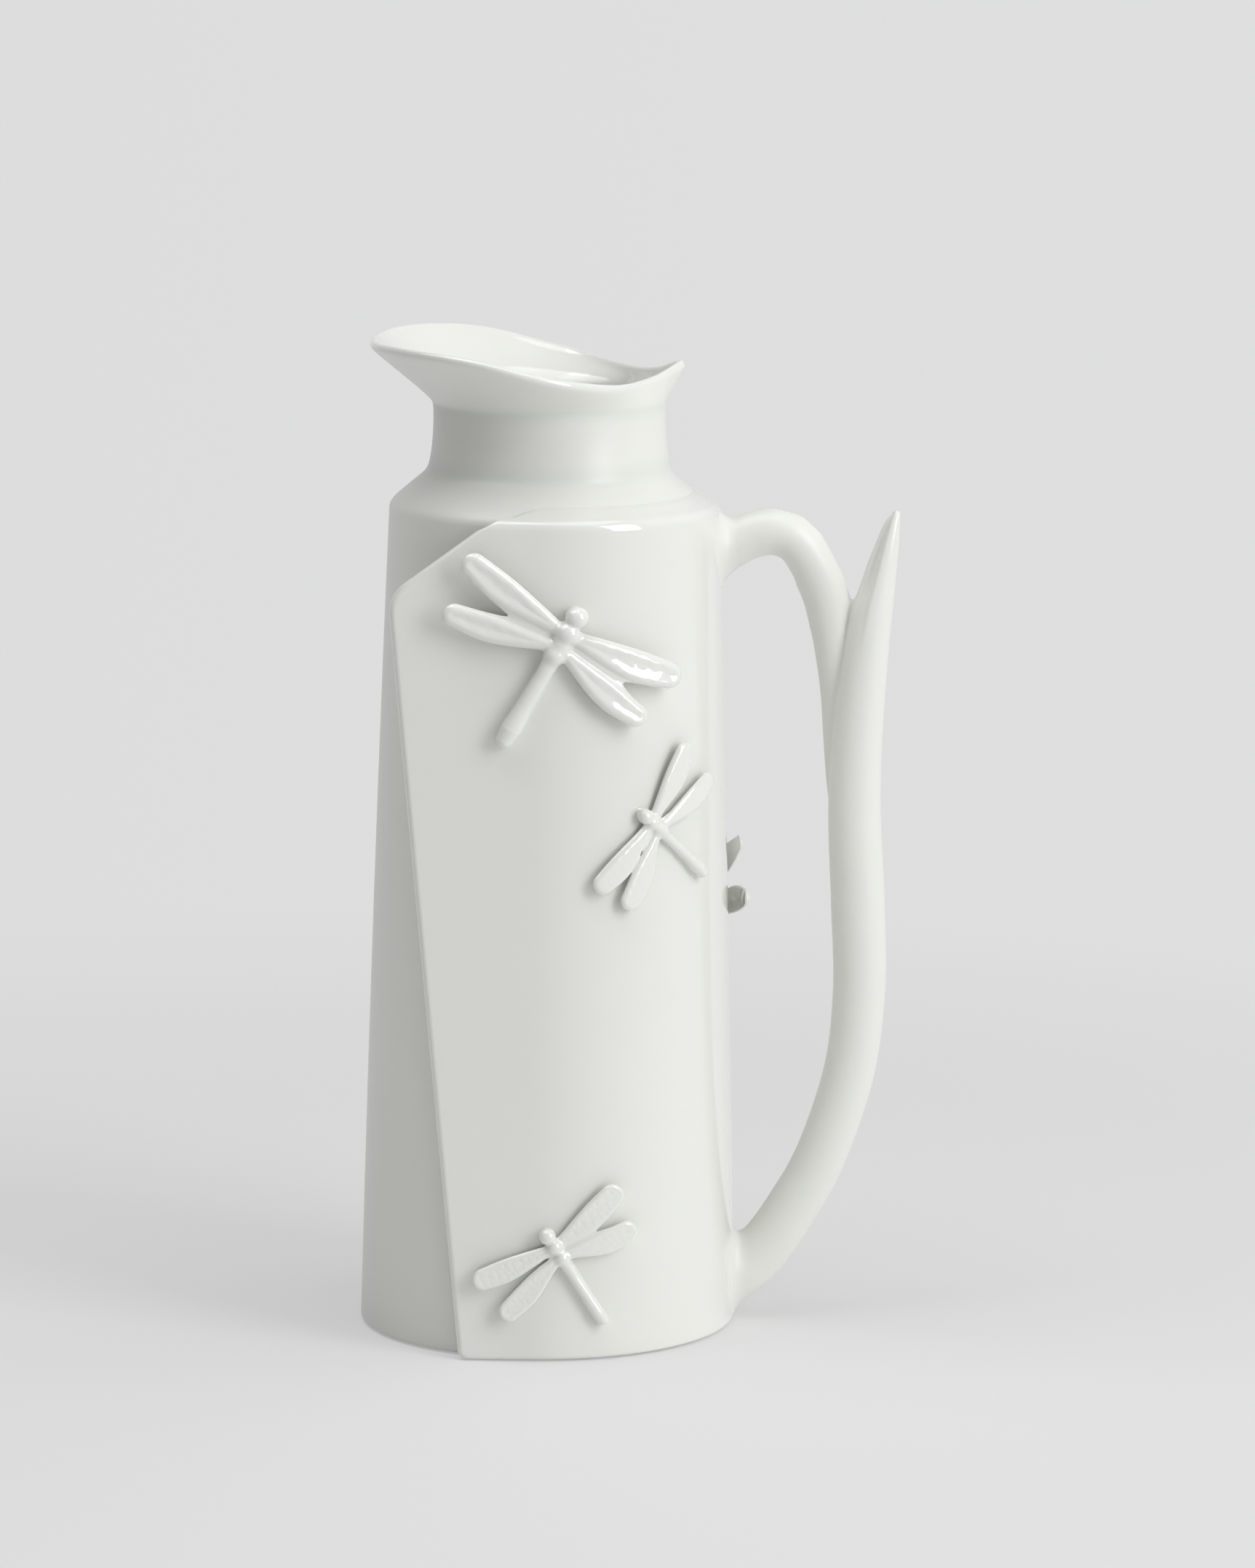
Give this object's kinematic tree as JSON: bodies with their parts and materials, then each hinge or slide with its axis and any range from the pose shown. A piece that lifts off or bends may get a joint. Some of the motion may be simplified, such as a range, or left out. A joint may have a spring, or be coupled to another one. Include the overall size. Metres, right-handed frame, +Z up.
{
  "type": "porcelain carafe",
  "caption": "Tall white porcelain carafe with a wrapped jacket, wavy flared pouring lip, reed-shaped handle with a leaf tip, and dragonflies in relief.",
  "frame": {"origin": "centre of the foot ring's standing face", "axes": "+Z up along the barrel's axis, +X towards the handle, -X towards the pouring lip, front with the relief at -Y"},
  "size_m": [0.15, 0.1119, 0.2776],
  "materials": {
    "white_glaze": "clear gloss glaze over white porcelain",
    "relief_glaze": "gloss glaze, slightly thicker in the hollows",
    "bare_foot": "unglazed, ground smooth"
  },
  "bodies": {
    "root": {"barrel_wall": "white_glaze", "floor_disc": "white_glaze", "foot_ring": "bare_foot", "shoulder": "white_glaze", "neck_collar": "white_glaze", "pouring_lip": "white_glaze", "wrap_panel": "white_glaze", "handle_stalk": "white_glaze", "handle_arm": "white_glaze", "upper_body": "relief_glaze", "upper_left_forewing": "relief_glaze", "upper_right_forewing": "relief_glaze", "upper_left_hindwing": "relief_glaze", "upper_right_hindwing": "relief_glaze", "middle_body": "relief_glaze", "middle_left_forewing": "relief_glaze", "middle_right_forewing": "relief_glaze", "middle_left_hindwing": "relief_glaze", "middle_right_hindwing": "relief_glaze", "lower_body": "relief_glaze", "lower_left_forewing": "relief_glaze", "lower_right_forewing": "relief_glaze", "lower_left_hindwing": "relief_glaze", "lower_right_hindwing": "relief_glaze", "rear_body": "relief_glaze", "rear_left_forewing": "relief_glaze", "rear_right_forewing": "relief_glaze", "rear_left_hindwing": "relief_glaze", "rear_right_hindwing": "relief_glaze"}
  },
  "joints": []
}
